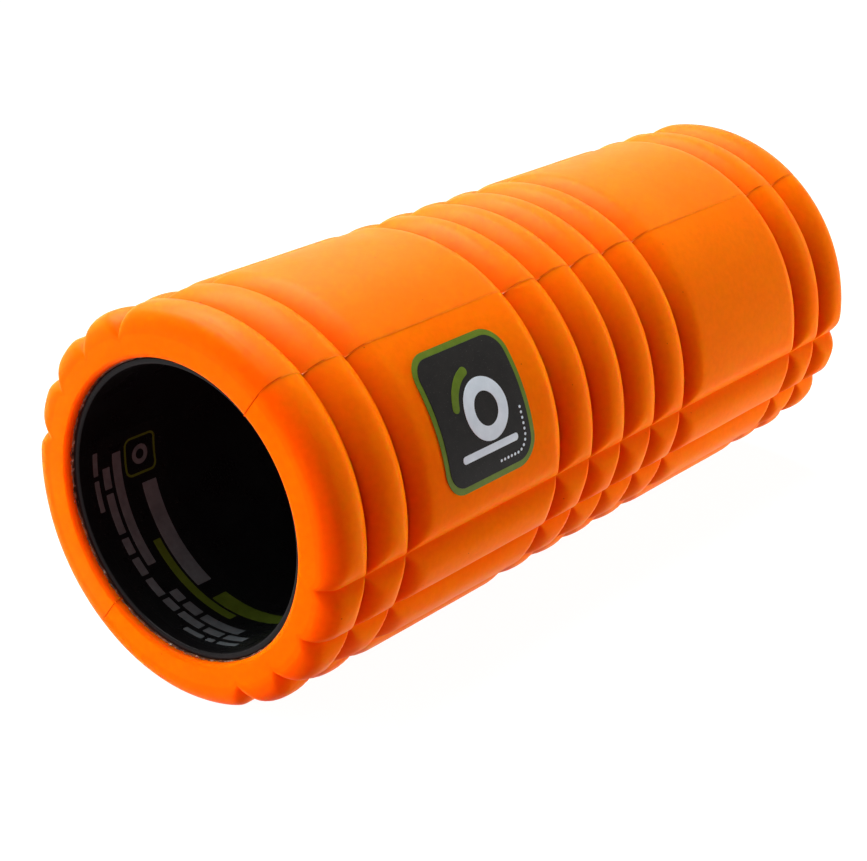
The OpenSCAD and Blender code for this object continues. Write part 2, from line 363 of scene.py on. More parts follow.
def foam_skin(front, seed):
    """One half's outer surface: its angles, places along, radius and depth below the crest."""
    shift = 0.0 if front else REAR_TURN
    seam_turns = [90.0, -90.0, 90 - SEAM_STEP, -90 + SEAM_STEP]
    turns = graded([g + shift for g in groove_turns()] + seam_turns, TURN_FINE, TURN_COARSE)
    stations = foam_stations()
    turn, x = np.meshgrid(turns, stations, indexing="ij")
    radius = foam_radius(x, turn - shift)
    depth = np.clip((CREST_R - radius) / GROOVE_DEPTH, 0, 2)
    points = on_axis(x, radius, half_middle(front) + turn) / MM
    for i, (height, scale) in enumerate((UNEVEN, MOTTLE)):
        radius = radius + height * soft_noise(points, scale, seed + i)
    radius = radius + seam_shape(x, turn, radius, points, front, seed)
    radius = radius + dents(x, turn, radius, seed)
    return turns, stations, radius, depth


def foam_loops(turns, stations, radius):
    """Closed loops, one for each angle: outer surface, end faces, inner edges and bore wall."""
    steps = np.arange(1, FACE_STEPS + 1) / FACE_STEPS
    bore_edge = FOAM_R + BORE_ROUND
    drop = radius[:, -1:] + (bore_edge - radius[:, -1:]) * steps
    rise = radius[:, :1] + (bore_edge - radius[:, :1]) * steps
    corner = np.radians([15, 37, 60, 80, 90])
    corner_x = HALF_LEN - BORE_ROUND * (1 - np.cos(corner))
    corner_r = bore_edge - BORE_ROUND * np.sin(corner)
    wall_x = np.linspace(corner_x[-1], -corner_x[-1], WALL_STEPS)[1:-1]
    face_x = np.full(FACE_STEPS, HALF_LEN)
    loop_x = np.concatenate([stations, face_x, corner_x, wall_x, -corner_x[::-1], -face_x])
    loop_x = np.broadcast_to(loop_x, (len(turns), len(loop_x)))
    inner = np.concatenate([corner_r, np.full(len(wall_x), FOAM_R), corner_r[::-1]])
    inner = np.broadcast_to(inner, (len(turns), len(inner)))
    loop_r = np.concatenate([radius, drop, inner, rise[:, ::-1]], axis=1)
    loop_turn = np.broadcast_to(turns[:, None], loop_x.shape)
    return loop_x, loop_r, loop_turn


def foam_half(name, node, front, material, seed):
    """One moulded half of the foam, with its ribs, blocks, notches, end faces and bore wall."""
    middle = half_middle(front)
    turns, stations, radius, skin_depth = foam_skin(front, seed)
    loop_x, loop_r, loop_turn = foam_loops(turns, stations, radius)
    grid = on_axis(loop_x, loop_r, middle + loop_turn)
    grid = grid + on_axis(0, SEAM_GAP, middle)
    faces = sweep_faces(*loop_x.shape)
    piece = new_piece(name, grid, faces, material, [node], sharp_from=50)
    # Depth below the crest, which the material turns into painted shade in the grooves and on the
    # bore wall.
    depth = np.zeros(loop_x.shape)
    depth[:, : len(stations)] = skin_depth
    depth[:, len(stations) + FACE_STEPS : -FACE_STEPS] = BORE_SHADE_DEPTH
    set_attribute(piece, "depth", depth)
    # Distance from the seam, pushed off where no flank rises, so that the dark seam line, partly
    # painted shade, is drawn on the shaded rising flanks alone.
    seam = np.radians(90 - np.abs(loop_turn)) * loop_r
    set_attribute(piece, "seam", np.where(rising_flank(loop_x), seam, seam + CRACK_OFF))
    return piece


# ---- Core tube and its adhesive ----

RIM_ROUND = 0.8
TUBE_SIDES, RIM_STEPS, TUBE_STEPS = 288, 7, 34


def core_tube(material):
    """The moulded core: a thin tube with fully rounded rims."""
    corner = np.linspace(0, math.pi / 2, RIM_STEPS)
    round_x = TUBE_END - RIM_ROUND + RIM_ROUND * np.cos(corner)
    round_r = TUBE_R - RIM_ROUND + RIM_ROUND * np.sin(corner)
    wall_x = np.linspace(round_x[-1], -round_x[-1], TUBE_STEPS)[1:-1]
    side_x = np.concatenate([round_x, wall_x, -round_x[::-1]])
    side_r = np.concatenate([round_r, np.full(len(wall_x), TUBE_R), round_r[::-1]])
    loop_x = np.concatenate([side_x, side_x[::-1]])
    loop_r = np.concatenate([side_r, TUBE_R + BORE_R - side_r[::-1]])
    turns = np.linspace(0, 360, TUBE_SIDES, endpoint=False)
    grid = on_axis(loop_x[None, :], loop_r[None, :], turns[:, None])
    faces = sweep_faces(*grid.shape[:2], ring=True)
    return new_piece("core_tube_shell", grid, faces, material, ["core_tube"], sharp_from=60)


# The bead at the core's ends: places past the end of the core, and its swelling there.
BEAD_REACH = 0.5
BEAD_PAST = BEAD_REACH + np.array([0.0, -0.25, -0.6, -1.0, -1.5, -8.0])
BEAD_SWELL = np.array([0.15, 0.40, 0.45, 0.30, 0.0, 0.0])
BEAD_STEPS, BEAD_EDGE = 420, 89.6
# Where the film lies hidden: its gap over the core, and how far it reaches into the foam.
ON_CORE, IN_FOAM = 0.03, 0.02
# Dried strings: how many, points along and round each, radius, and distance past the core's end.
STRANDS, STRAND_POINTS, STRAND_SIDES, STRAND_R, STRAND_PAST = 7, 26, 6, 0.09, 0.9


def strand(draw, around):
    """Points of one dried string of adhesive that zigzags across the gap at the end of the core."""
    count = STRAND_POINTS
    sway = np.cumsum(draw.uniform(-0.5, 0.5, count))
    angle = around + np.linspace(0, draw.uniform(2, 6), count)
    x = -(TUBE_END + STRAND_PAST + 0.45 * np.sin(sway * 1.7 + draw.uniform(0, 6)))
    radius = FOAM_R - 0.22 - 0.12 * draw.random(count)
    path = on_axis(x, radius, angle) / MM
    along = np.gradient(path, axis=0)
    along /= np.linalg.norm(along, axis=1, keepdims=True)
    side = np.cross(along, path * (0, 1, 1))
    side /= np.linalg.norm(side, axis=1, keepdims=True)
    up = np.cross(side, along)
    turn = np.linspace(0, 2 * math.pi, STRAND_SIDES, endpoint=False)
    thick = STRAND_R * (0.6 + 0.8 * draw.random(count))[:, None, None]
    ring = np.cos(turn)[None, :, None] * side[:, None] + np.sin(turn)[None, :, None] * up[:, None]
    return path[:, None] + thick * ring


def core_bond(name, node, front, material, seed):
    """The contact adhesive between one foam half and the core, with the ragged bead at its ends."""
    middle = half_middle(front)
    turns = np.linspace(-BEAD_EDGE, BEAD_EDGE, BEAD_STEPS)
    near_x = TUBE_END + BEAD_PAST
    loop_x = np.concatenate([-near_x, near_x[::-1]])
    swell = np.concatenate([BEAD_SWELL, BEAD_SWELL[::-1]])
    turn, x = np.meshgrid(turns, loop_x, indexing="ij")
    places = on_axis(x, FOAM_R, middle + turn) / MM
    ragged = soft_noise(places, 2.2, seed) + 0.8 * soft_noise(places, 0.7, seed + 1)
    lumpy = np.clip(0.5 + 1.1 * soft_noise(places, 2.4, seed + 2), 0.05, 1.4)
    inward = FOAM_R - 0.08 - swell * lumpy
    under = np.abs(x) < TUBE_END - 0.9
    inward = np.where(under, TUBE_R + ON_CORE, inward)
    x = x + np.sign(x) * np.where(swell > 0, ragged * 0.45, 0)
    outward = np.full_like(inward, FOAM_R + IN_FOAM)
    all_x = np.concatenate([x, x[:, ::-1]], axis=1)
    all_r = np.concatenate([inward, outward], axis=1)
    all_turn = np.concatenate([turn, turn], axis=1)
    grid = on_axis(all_x, all_r, middle + all_turn)
    points, faces = list(grid.reshape(-1, 3)), sweep_faces(*all_x.shape)
    draw = np.random.default_rng(seed)
    for _ in range(STRANDS):
        string = strand(draw, middle + draw.uniform(-60, -20) * (-1 if front else 1))
        start = len(points)
        points += list(string.reshape(-1, 3) * MM)
        faces += [[start + i for i in face] for face in sweep_faces(*string.shape[:2])]
    return new_piece(name, points, faces, material, [node], sharp_from=60)


# ---- Seam adhesive ----

# Distance between samples along a seam, and how far the line stops short of the end faces.
LINE_STEP, LINE_END = 0.45, 0.4
# The line's half width and its variation, and the extra width of its flecks.
LINE_HALF, LINE_VARIES, FLECK_W = 0.20, 0.05, 0.45
# How proud the line stands, how uneven that is, how much it sinks on rising flanks.
LINE_PROUD, LINE_UNEVEN, LINE_SINKS = 0.03, 0.05, 0.12
# How much of that unevenness is left on the smooth bands, and how high grooves are filled.
ON_BANDS, GROOVE_FILL = 0.25, 0.35


def seam_heights(stations, edge, groove, seed):
    """How proud the line of adhesive in a seam stands of the foam's edge along the roller."""
    places = np.stack([stations, stations * 0, stations * 0], axis=-1)
    lumpy = np.where(np.abs(stations) < MIDDLE_EDGE + RIBS_PAST, 1.0, ON_BANDS)
    slow, quick = soft_noise(places, 4, seed), soft_noise(places, 1.1, seed + 1)
    proud = LINE_PROUD + lumpy * (LINE_PROUD + LINE_UNEVEN * slow + LINE_UNEVEN * quick)
    rising = np.gradient(edge, stations) > STEEP
    sunk = np.where(rising, proud - LINE_SINKS, proud)
    proud = np.where(groove > 0.3, GROOVE_FILL * groove + proud, sunk)
    half = LINE_HALF + LINE_VARIES * soft_noise(places, 2, seed + 2)
    return proud, half


def seam_bond(name, node, angle, front_side, material, seed):
    """The thin line of adhesive in one glued seam, a little proud, with flecks in the grooves."""
    stations = np.arange(-HALF_LEN + LINE_END, HALF_LEN - 0.3, LINE_STEP)
    edge = foam_radius(stations, np.full_like(stations, 90.0))
    groove = np.clip((CREST_R - edge) / GROOVE_DEPTH, 0, 1)
    groove = np.where(np.abs(stations) > HALF_LEN - END_ROUND, 0, groove) ** 3
    proud, half = seam_heights(stations, edge, groove, seed)
    fleck = groove * (0.35 + 0.65 * np.random.default_rng(seed).random(len(stations)))
    rear = half + FLECK_W * fleck
    top, low = edge + proud, np.full_like(edge, FOAM_R + 0.3)
    across = np.stack([-half, -half, -half * 0.5, rear * 0.5, rear, half], axis=1) * -front_side
    up = np.stack([low, top - 0.1, top, top, top - 0.25 - 0.5 * fleck, low], axis=1)
    turn = math.radians(angle)
    out = np.array([0, math.cos(turn), math.sin(turn)])
    side = np.array([0, -math.sin(turn), math.cos(turn)])
    along = np.array([1.0, 0, 0])
    grid = stations[:, None, None] * along + up[..., None] * out + across[..., None] * side
    faces = sweep_faces(*up.shape)
    piece = new_piece(name, grid * MM, faces, material, [node], sharp_from=70)
    set_attribute(piece, "fleck", np.repeat(groove[:, None], up.shape[1], axis=1))
    return piece


# ---- Printed films ----


def ring_of(count, radius, centre=(0, 0), start=0, stop=360):
    """Points of a circle or of an arc, anticlockwise."""
    whole = stop - start == 360
    turn = np.radians(np.linspace(start, stop, count, endpoint=not whole))
    return np.stack([centre[0] + radius * np.cos(turn), centre[1] + radius * np.sin(turn)], axis=1)


def round_box(width, height, corner, centre=(0, 0), count=10):
    """Outline of a rectangle with rounded corners."""
    points = []
    for i, (sx, sy) in enumerate([(1, 1), (-1, 1), (-1, -1), (1, -1)]):
        middle = (centre[0] + sx * (width / 2 - corner), centre[1] + sy * (height / 2 - corner))
        points.append(ring_of(count, corner, middle, i * 90, i * 90 + 90))
    return np.concatenate(points)


def resample(loop, spacing):
    """The same closed outline with points no further apart than a spacing."""
    out = []
    for a, b in zip(loop, np.roll(loop, -1, axis=0)):
        count = max(1, math.ceil(np.linalg.norm(b - a) / spacing))
        out += [a + (b - a) * i / count for i in range(count)]
    return np.array(out)


def inside_loops(points, loops):
    """Which points lie inside an odd number of closed outlines."""
    inside = np.zeros(len(points), bool)
    for loop in loops:
        ax, ay = loop[:, 0], loop[:, 1]
        bx, by = np.roll(ax, -1), np.roll(ay, -1)
        px, py = points[:, :1], points[:, 1:]
        crosses = (ay > py) != (by > py)
        run = np.where(by == ay, 1e-12, by - ay)
        left = px < (bx - ax) * (py - ay) / run + ax
        inside ^= (crosses & left).sum(axis=1) % 2 == 1
    return inside


def fill_flat(loops, spacing, step):
    """Triangles that fill a flat shape, with a close row of points inside its edge."""
    loops = [resample(loop, step) for loop in loops]
    edge = np.concatenate(loops)
    low, high = edge.min(axis=0), edge.max(axis=0)
    xs = np.arange(low[0] + spacing / 2, high[0], spacing)
    ys = np.arange(low[1] + spacing / 2, high[1], spacing)
    inner = np.stack(np.meshgrid(xs, ys), axis=-1).reshape(-1, 2)
    inner = inner[inside_loops(inner, loops)]
    if len(inner):
        gap = np.min(np.linalg.norm(inner[:, None] - edge[None], axis=2), axis=1)
        inner = inner[gap > spacing * 0.45]
    points = np.concatenate([edge, inner])
    bounds, start = [], 0
    for loop in loops:
        bounds += [(start + i, start + (i + 1) % len(loop)) for i in range(len(loop))]
        start += len(loop)
    made = geometry.delaunay_2d_cdt([Vector(p) for p in points], bounds, [], 0, 1e-6)
    verts = np.array([tuple(v) for v in made[0]])
    tris = np.array(made[2])
    keep = inside_loops(verts[tris].mean(axis=1), loops)
    return verts, tris[keep]


def film_mesh(shapes, place, low, high, spacing=1.6, step=0.9, ease=0.03):
    """Points and faces of thin curved films: each flat shape has a bottom, a top and side walls."""
    points, faces = [], []
    for loops in shapes:
        flat, tris = fill_flat(loops, spacing, step)
        edges = {}
        for a, b, c in tris.tolist():
            for pair in ((a, b), (b, c), (c, a)):
                edges[pair] = edges.get(pair, 0) + 1
        rim = [p for p in edges if (p[1], p[0]) not in edges]
        on_rim = np.zeros(len(flat), bool)
        on_rim[[i for pair in rim for i in pair]] = True
        start = len(points)
        count = len(flat)
        top = place(flat, np.where(on_rim, high + math.copysign(ease, low - high), high))
        points += list(place(flat, np.full(count, low))) + list(top)
        faces += [[start + i for i in t[::-1]] for t in tris.tolist()]
        faces += [[start + count + i for i in t] for t in tris.tolist()]
        faces += [[start + a, start + b, start + count + b, start + count + a] for a, b in rim]
    return points, faces


def film_piece(name, shapes, place, low, high, slot, material, node, **fine):
    """A printed film or ink that follows the curve it is stuck to."""
    points, faces = film_mesh(shapes, place, low, high, **fine)
    return new_piece(name, points, faces, material, [node], sharp_from=60)


# ---- Badge ----

BADGE_LOW, BADGE_HIGH = box_mm("badge_border")
BADGE_X = (BADGE_LOW.x + BADGE_HIGH.x) / 2
BADGE_W = BADGE_HIGH.x - BADGE_LOW.x
BADGE_TURN = 28.9
BADGE_ANGLE = SEAM_ANGLE + BADGE_TURN
BADGE_H = 49.3
BADGE_CORNER = 9.5
BADGE_BORDER = 2.2
LAYER = 0.15
EMBLEM_AT = (2.5, -0.5)
EMBLEM_HOLE, EMBLEM_R = 6.0, 11.0
LINE_W, LINE_H, LINE_GAP = 30.0, 2.6, 1.0
ACCENT_R, ACCENT_W, ACCENT_FROM, ACCENT_TO = 14.8, 3.2, 105, 165
DOT_COUNT, DOT_R, DOT_INSET, DOT_BEND, DOT_RUN = 15, 0.5, 3.1, 5.5, 9.0


def on_badge(flat, radius):
    """Places badge shapes, drawn flat with Y up toward the seam, on the foam's smooth band."""
    across = np.degrees(np.arcsin(flat[:, 1] / np.asarray(radius)))
    return on_axis(BADGE_X + flat[:, 0], radius, BADGE_ANGLE - across)


def accent_outline():
    """An arc with round ends beside the emblem."""
    inner, outer = ACCENT_R - ACCENT_W / 2, ACCENT_R + ACCENT_W / 2
    parts = [ring_of(30, outer, EMBLEM_AT, ACCENT_FROM, ACCENT_TO)]
    for angle, first in ((ACCENT_TO, ACCENT_TO), (ACCENT_FROM, ACCENT_FROM + 180)):
        tip = ring_of(1, ACCENT_R, EMBLEM_AT, angle, angle + 1)[0]
        parts.append(ring_of(12, ACCENT_W / 2, tip, first, first + 180)[1:-1])
        if angle == ACCENT_TO:
            parts.append(ring_of(24, inner, EMBLEM_AT, ACCENT_TO, ACCENT_FROM))
    return np.concatenate(parts)


def dot_place(along):
    """Middle of a dot on the line that rounds the badge's lower far corner."""
    edge_x = (BADGE_W - 2 * BADGE_BORDER) / 2 - DOT_INSET
    edge_y = -(BADGE_H - 2 * BADGE_BORDER) / 2 + DOT_INSET
    bend = DOT_BEND * math.pi / 2
    if along < DOT_RUN:
        return edge_x - DOT_BEND - DOT_RUN + along, edge_y
    if along < DOT_RUN + bend:
        turn = (along - DOT_RUN) / DOT_BEND
        up = DOT_BEND * (1 - math.cos(turn))
        return edge_x - DOT_BEND + DOT_BEND * math.sin(turn), edge_y + up
    return edge_x, edge_y + DOT_BEND + along - DOT_RUN - bend


def badge(paints):
    """The badge on the smooth band: border, dark panel, and the shapes printed on it."""
    layer = [CREST_R + 0.02 + i * LAYER for i in range(4)]
    outline = round_box(BADGE_W, BADGE_H, BADGE_CORNER)
    panel_size = (BADGE_W - 2 * BADGE_BORDER, BADGE_H - 2 * BADGE_BORDER)
    panel = round_box(*panel_size, BADGE_CORNER - BADGE_BORDER)
    line_y = EMBLEM_AT[1] - EMBLEM_R - LINE_GAP - LINE_H / 2
    ring = [ring_of(72, EMBLEM_R, EMBLEM_AT), ring_of(48, EMBLEM_HOLE, EMBLEM_AT)]
    line = [round_box(LINE_W, LINE_H, LINE_H / 2 - 0.05, (0, line_y))]
    row = 2 * DOT_RUN + DOT_BEND * math.pi / 2
    dots = [[ring_of(16, DOT_R, dot_place(i * row / (DOT_COUNT - 1)))] for i in range(DOT_COUNT)]
    rows = [
        ("badge_border_film", [[outline]], 0, "badge_green", "badge_border"),
        ("badge_panel_film", [[panel]], 1, "badge_black", "badge_panel"),
        ("badge_emblem_ink", [ring, line], 2, "badge_silver", "badge_emblem"),
        ("badge_accent_ink", [[accent_outline()]], 2, "badge_green", "badge_accent"),
        ("badge_dots_ink", dots, 2, "badge_silver", "badge_dots"),
    ]
    for name, shapes, i, slot, node in rows:
        low, high = layer[i], layer[i + 1]
        film_piece(name, shapes, on_badge, low, high, slot, paints[slot], node, step=0.8)


# ---- Label inside the core ----

LABEL_INSET, LABEL_W = 7.6, 37.0
LABEL_ANGLE, LABEL_SWEEP = 244.0, 128.0
LABEL_T, INK_T, LABEL_SINK = 0.1, 0.05, 0.005
LABEL_R = BORE_R - LABEL_T
BAR_GAP = 2.0
# Rows of bars: depth past the label's edge, height, first angle on the label, angles covered.
GREY_ROWS = [
    (2, 2.1, 8, [11, 4, 10]),
    (2, 2.1, 97, [13, 10]),
    (6.2, 3.3, 9, [11, 9, 12, 7, 9, 8, 7, 17, 9]),
    (11, 3.9, 17, [21, 8, 6]),
    (11, 3.9, 70, [49]),
    (23, 6.8, 53, [49]),
]
GREEN_ROWS = [(18.5, 3.4, 29.5, [49]), (23, 6.8, 6.5, [38])]
SIGN_W, SIGN_LINE, SIGN_DEPTH, SIGN_TURN = 14.8, 0.9, 31.6, 114.3


def on_label(flat, radius):
    """Places shapes drawn flat, with X the depth past the label's edge and Y the arc along it."""
    angle = LABEL_ANGLE + np.degrees(flat[:, 1] / LABEL_R)
    return on_axis(LABEL_INSET - HALF_LEN + flat[:, 0], radius, angle)


def bars(rows):
    """Outlines of the bars in the label's rows of print."""
    shapes = []
    for depth, height, first, sweeps in rows:
        for sweep in sweeps:
            run = math.radians(sweep) * LABEL_R
            middle = (depth + height / 2, math.radians(first + sweep / 2) * LABEL_R)
            shapes.append([round_box(height, run, 0.35, middle, count=4)])
            first += sweep + BAR_GAP
    return shapes


def label(paints):
    """The printed label on the core's wall, with plain bars and a sign in place of its print."""
    arc = math.radians(LABEL_SWEEP) * LABEL_R
    film = [[round_box(LABEL_W, arc, 2.0, (LABEL_W / 2, arc / 2))]]
    sign_at = (SIGN_DEPTH - LABEL_INSET, math.radians(SIGN_TURN) * LABEL_R)
    sign = [round_box(SIGN_W, SIGN_W, SIGN_W / 5, sign_at)]
    inner = SIGN_W - 2 * SIGN_LINE
    sign.append(round_box(inner, inner, SIGN_W / 5 - SIGN_LINE, sign_at))
    ring = [ring_of(40, SIGN_W / 4, sign_at), ring_of(32, SIGN_W / 8, sign_at)]
    grey, green = bars(GREY_ROWS) + [ring], bars(GREEN_ROWS) + [sign]
    ink_r = LABEL_R - INK_T
    rows = [
        ("label_film", film, BORE_R - LABEL_SINK, LABEL_R, "label_film", "core_label"),
        ("label_grey_ink", grey, LABEL_R, ink_r, "label_grey", "label_print_grey"),
        ("label_green_ink", green, LABEL_R, ink_r, "label_green", "label_print_green"),
    ]
    fine = {"step": 1.2, "ease": 0.012}
    for name, shapes, low, high, slot, node in rows:
        film_piece(name, shapes, on_label, low, high, slot, paints[slot], node, **fine)


# ---- Materials ----


class Paint:
    """A material under construction: short names for the nodes that every finish here uses."""

    def __init__(self, name, roughness, specular=0.5, **fixed):
        self.material = bpy.data.materials.new(name)
        self.material.use_nodes = True
        self.tree = self.material.node_tree
        self.shader = self.tree.nodes["Principled BSDF"]
        self.shader.inputs["Roughness"].default_value = roughness
        self.shader.inputs["Specular IOR Level"].default_value = specular
        for socket, value in fixed.items():
            self.shader.inputs[socket.replace("_", " ")].default_value = value
        self.place = self.node("ShaderNodeTexCoord").outputs["Object"]
        self.height = None

    def node(self, kind, **settings):
        """A node with its settings and unlinked sockets filled in, and the linked ones joined."""
        made = self.tree.nodes.new(kind)
        for key, value in settings.items():
            if hasattr(made, key):
                setattr(made, key, value)
                continue
            label = key.replace("_", " ") if isinstance(key, str) else key
            socket = made.inputs[label]
            if isinstance(value, bpy.types.NodeSocket):
                self.tree.links.new(value, socket)
            else:
                socket.default_value = value
        return made

    def noise(self, scale, detail=3.0, stretch=None):
        """Noise from about 0 to 1, with a scale in features per metre."""
        vector = self.place
        if stretch:
            vector = self.node("ShaderNodeMapping", Vector=vector, Scale=stretch).outputs[0]
        made = self.node("ShaderNodeTexNoise", Vector=vector, Scale=scale, Detail=detail)
        return made.outputs["Factor"] if "Factor" in made.outputs else made.outputs["Fac"]

    def attribute(self, name):
        """A number that the piece's mesh carries."""
        return self.node("ShaderNodeAttribute", attribute_name=name).outputs["Fac"]

    def ramp(self, value, stops):
        """Maps a value through (place, colour or grey) stops."""
        made = self.node("ShaderNodeValToRGB", Fac=value)
        elements = made.color_ramp.elements
        while len(elements) < len(stops):
            elements.new(0.5)
        for element, (place, colour) in zip(elements, stops):
            element.position = place
            grey = isinstance(colour, (int, float))
            element.color = (colour, colour, colour, 1) if grey else (*colour, 1)
        return made.outputs["Color"]

    def mix(self, factor, a, b, blend="MIX"):
        """Mixes two colours."""
        made = self.node("ShaderNodeMix", data_type="RGBA", blend_type=blend)
        for socket, value in zip((made.inputs[0], made.inputs[6], made.inputs[7]), (factor, a, b)):
            if isinstance(value, bpy.types.NodeSocket):
                self.tree.links.new(value, socket)
            elif isinstance(value, tuple):
                socket.default_value = (*value, 1)
            else:
                socket.default_value = value
        return made.outputs[2]

    def math(self, operation, a, b=0.0, c=0.0):
        """One arithmetic step."""
        made = self.node("ShaderNodeMath", operation=operation)
        for socket, value in zip(made.inputs, (a, b, c)):
            if isinstance(value, bpy.types.NodeSocket):
                self.tree.links.new(value, socket)
            else:
                socket.default_value = value
        return made.outputs[0]

    def bump(self, height, depth_mm, strength=1.0):
        """Adds relief of a depth in millimetres to what is already there."""
        settings = {"Height": height, "Distance": depth_mm * MM, "Strength": strength}
        if self.height:
            settings["Normal"] = self.height
        self.height = self.node("ShaderNodeBump", **settings).outputs[0]

    def finish(self, colour, roughness=None):
        """Joins the colour, roughness and relief to the shader."""
        self.tree.links.new(colour, self.shader.inputs["Base Color"])
        if roughness:
            self.tree.links.new(roughness, self.shader.inputs["Roughness"])
        if self.height:
            self.tree.links.new(self.height, self.shader.inputs["Normal"])
        return self.material


# The foam's two mottled tones, the painted shade of its grooves, the crack at a seam, darkened
# partly as painted shade, its pits, and the crack's width.
FOAM_DEEP, FOAM_LIGHT = (0.95, 0.156, 0.0002), (0.98, 0.174, 0.0004)
FOAM_GROOVE_SHADE, FOAM_CRACK_AND_SHADE = (0.86, 0.085, 0.0004), (0.70, 0.030, 0.0004)
FOAM_PIT = (0.30, 0.03, 0.002)
CRACK_WIDTH = 0.35


def foam_material(name, gloss):
    """Saturated orange EVA foam: satin, mottled, finely grained, with pits, grooves and bore wall
    made redder by painted shade, and a dark seam crack that is partly painted shade.
    """
    glow = {"Subsurface_Weight": 0.8, "Subsurface_Scale": 0.0025}
    paint = Paint(name, 0.58, gloss, **glow)
    paint.shader.inputs["Subsurface Radius"].default_value = (1.0, 0.08, 0.02)
    cloud = paint.noise(28, 4)
    base = paint.ramp(cloud, [(0.30, FOAM_DEEP), (0.70, FOAM_LIGHT)])
    fine = paint.noise(420, 5)
    grain = paint.ramp(fine, [(0.32, 0.94), (0.68, 1.0)])
    base = paint.mix(1.0, base, grain, "MULTIPLY")
    # Painted shade: the deeper the grooves, inner edges and bore wall lie, the darker and redder
    # they are drawn.
    depth = paint.ramp(paint.attribute("depth"), [(0.25, 0.0), (1.0, 1.0)])
    base = paint.mix(paint.math("MULTIPLY", depth, 0.25), base, FOAM_GROOVE_SHADE)
    # The seam crack: a dark joint that is drawn only on the shaded rising flanks, so it is partly
    # painted shade.
    away = paint.math("DIVIDE", paint.attribute("seam"), CRACK_WIDTH)
    crack_and_shade_mask = paint.ramp(away, [(0.0, 1.0), (1.0, 0.0)])
    base = paint.mix(paint.math("MULTIPLY", crack_and_shade_mask, 0.7), base, FOAM_CRACK_AND_SHADE)
    cells = paint.node("ShaderNodeTexVoronoi", Vector=paint.place, Scale=170.0, Randomness=1.0)
    chosen = paint.math("GREATER_THAN", cells.outputs["Color"], 0.62)
    dot = paint.math("LESS_THAN", cells.outputs["Distance"], 0.045)
    pit = paint.math("MULTIPLY", chosen, dot)
    base = paint.mix(paint.math("MULTIPLY", pit, 0.6), base, FOAM_PIT)
    paint.bump(paint.noise(1500, 3), 0.016)
    paint.bump(fine, 0.03)
    paint.bump(paint.noise(130, 2), 0.05)
    paint.bump(paint.math("MULTIPLY", pit, -1.0), 0.05)
    rough = paint.ramp(paint.noise(60, 4), [(0.3, 0.34), (0.7, 0.44)])
    return paint.finish(base, rough)


def core_material():
    """Black moulded plastic: semi-gloss, with faint rings from the moulding and fine dust."""
    paint = Paint("core_black", 0.34, 0.13)
    dust = paint.ramp(paint.noise(900, 6), [(0.55, 0.0), (0.8, 1.0)])
    black, dusty = (0.004, 0.004, 0.0045), (0.018, 0.017, 0.016)
    base = paint.mix(paint.math("MULTIPLY", dust, 0.5), black, dusty)
    paint.bump(paint.noise(300, 3, stretch=(4.0, 0.25, 0.25)), 0.03)
    paint.bump(paint.noise(45, 2), 0.12)
    rough = paint.ramp(paint.noise(70, 4), [(0.3, 0.24), (0.7, 0.40)])
    return paint.finish(base, rough)


def adhesive_material():
    """Dried contact adhesive: dark and lighter brown with pale rubbery flecks."""
    paint = Paint("adhesive_dry", 0.45, 0.4)
    dark, light = (0.030, 0.012, 0.006), (0.20, 0.065, 0.018)
    brown = paint.ramp(paint.noise(260, 4), [(0.35, dark), (0.65, light)])
    pale = paint.ramp(paint.noise(520, 3), [(0.60, 0.0), (0.70, 1.0)])
    base = paint.mix(pale, brown, (0.42, 0.36, 0.30))
    paint.bump(paint.noise(900, 4), 0.12)
    return paint.finish(base)


def seam_material():
    """The adhesive line in the seams: orange like the foam, paler where it lies in flecks."""
    paint = Paint("adhesive_seam", 0.55, 0.1)
    deep, light = (0.93, 0.13, 0.001), (0.98, 0.20, 0.002)
    line = paint.ramp(paint.noise(300, 3), [(0.35, deep), (0.65, light)])
    fleck = paint.ramp(paint.attribute("fleck"), [(0.55, 0.0), (0.85, 1.0)])
    spots = paint.ramp(paint.noise(700, 3), [(0.42, 0.0), (0.55, 1.0)])
    base = paint.mix(paint.math("MULTIPLY", fleck, spots), line, (0.88, 0.34, 0.20))
    paint.bump(paint.noise(1100, 3), 0.08)
    return paint.finish(base)


def ink_material(name, dark, light, roughness, relief=0.006):
    """Satin printed film or ink: slight mottle in its colour and gloss, and fine tooth."""
    paint = Paint(name, roughness, 0.10)
    base = paint.ramp(paint.noise(240, 5), [(0.3, dark), (0.7, light)])
    specks = paint.ramp(paint.noise(2600, 2), [(0.66, 0.0), (0.76, 1.0)])
    base = paint.mix(paint.math("MULTIPLY", specks, 0.25), base, (0.25, 0.23, 0.22))
    paint.bump(paint.noise(1700, 3), relief)
    paint.bump(paint.noise(90, 2), 0.02)
    rough = paint.ramp(paint.noise(160, 3), [(0.3, roughness - 0.05), (0.7, roughness + 0.06)])
    return paint.finish(base, rough)


# Strength of the paper's own glow.
PAPER_GLOW = 0.97


def floor_material():
    """Plain white studio paper, which glows so that shadows on it stay faint."""
    paint = Paint("studio_paper", 0.7, 0.0)
    base = paint.ramp(paint.noise(3, 2), [(0.3, 0.16), (0.7, 0.18)])
    paint.shader.inputs["Emission Color"].default_value = (1, 1, 1, 1)
    paint.shader.inputs["Emission Strength"].default_value = PAPER_GLOW
    return paint.finish(base)


# ---- Studio ----

CAMERA_AT = (-0.59366, -0.44929, 0.27391)
CAMERA_TURN = (math.pi / 2 - 0.378232, 0.0, -0.898255)
CAMERA_LENS = 85.31

WHITE, WARM = (1.0, 1.0, 1.0), (1.0, 0.34, 0.32)
